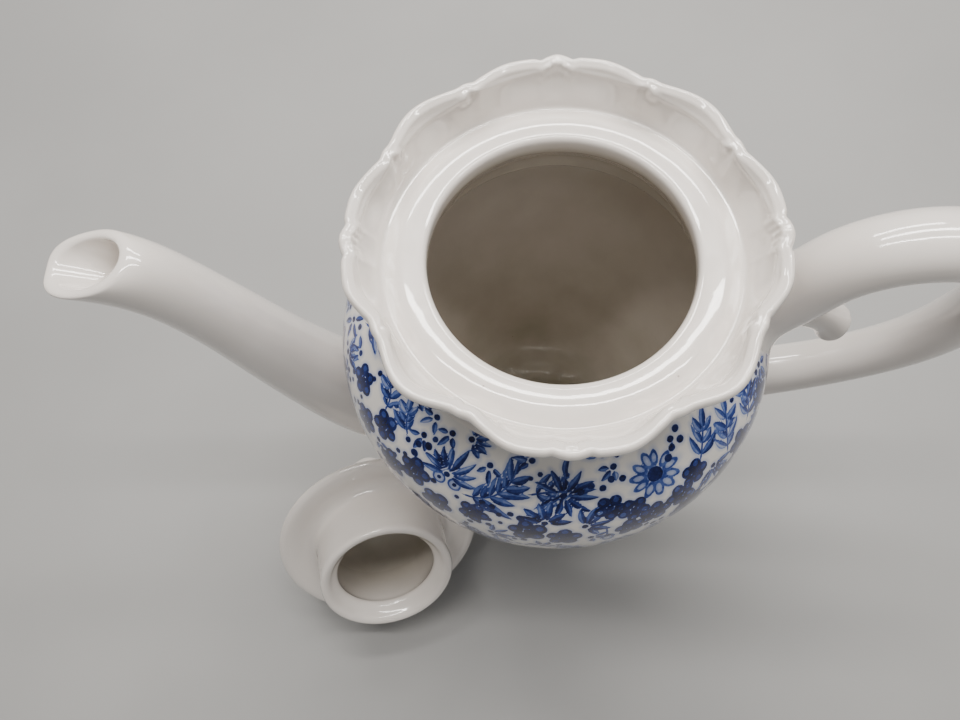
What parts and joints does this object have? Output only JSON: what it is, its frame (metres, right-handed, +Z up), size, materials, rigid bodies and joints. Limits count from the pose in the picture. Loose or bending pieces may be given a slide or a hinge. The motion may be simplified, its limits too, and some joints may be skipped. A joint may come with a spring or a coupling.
{
  "type": "porcelain teapot",
  "caption": "Tall porcelain pot with a scalloped gallery rim, swan-neck spout, scrolled handle, blue flower decor and a loose flanged lid lying beside it.",
  "frame": {"origin": "centre of the foot ring's underside, on the table", "axes": "+Z up along the pot's axis out of the mouth, +X towards the handle, -X towards the spout, -Y towards the viewer and the loose lid"},
  "size_m": [0.2722, 0.1576, 0.2211],
  "materials": {
    "decorated_porcelain": "clear gloss glaze over cobalt flower and leaf decor",
    "white_porcelain": "clear gloss glaze on white porcelain",
    "foot_porcelain": "glazed foot with a bare bisque tread"
  },
  "bodies": {
    "pot": {"body": "decorated_porcelain", "foot_ring": "foot_porcelain", "lid_seat": "white_porcelain", "gallery_rim": "white_porcelain", "spout": "white_porcelain", "handle": "white_porcelain", "handle_scroll": "white_porcelain", "handle_leaf": "white_porcelain"},
    "lid": {"lid_cover": "white_porcelain", "lid_flange": "white_porcelain", "lid_knob": "white_porcelain"}
  },
  "joints": [
    {"name": "lid_lift", "type": "slide", "parent": "pot", "child": "lid", "axis": [-0.36, -0.48, 0.8], "range_m": [0, 0.3]}
  ]
}
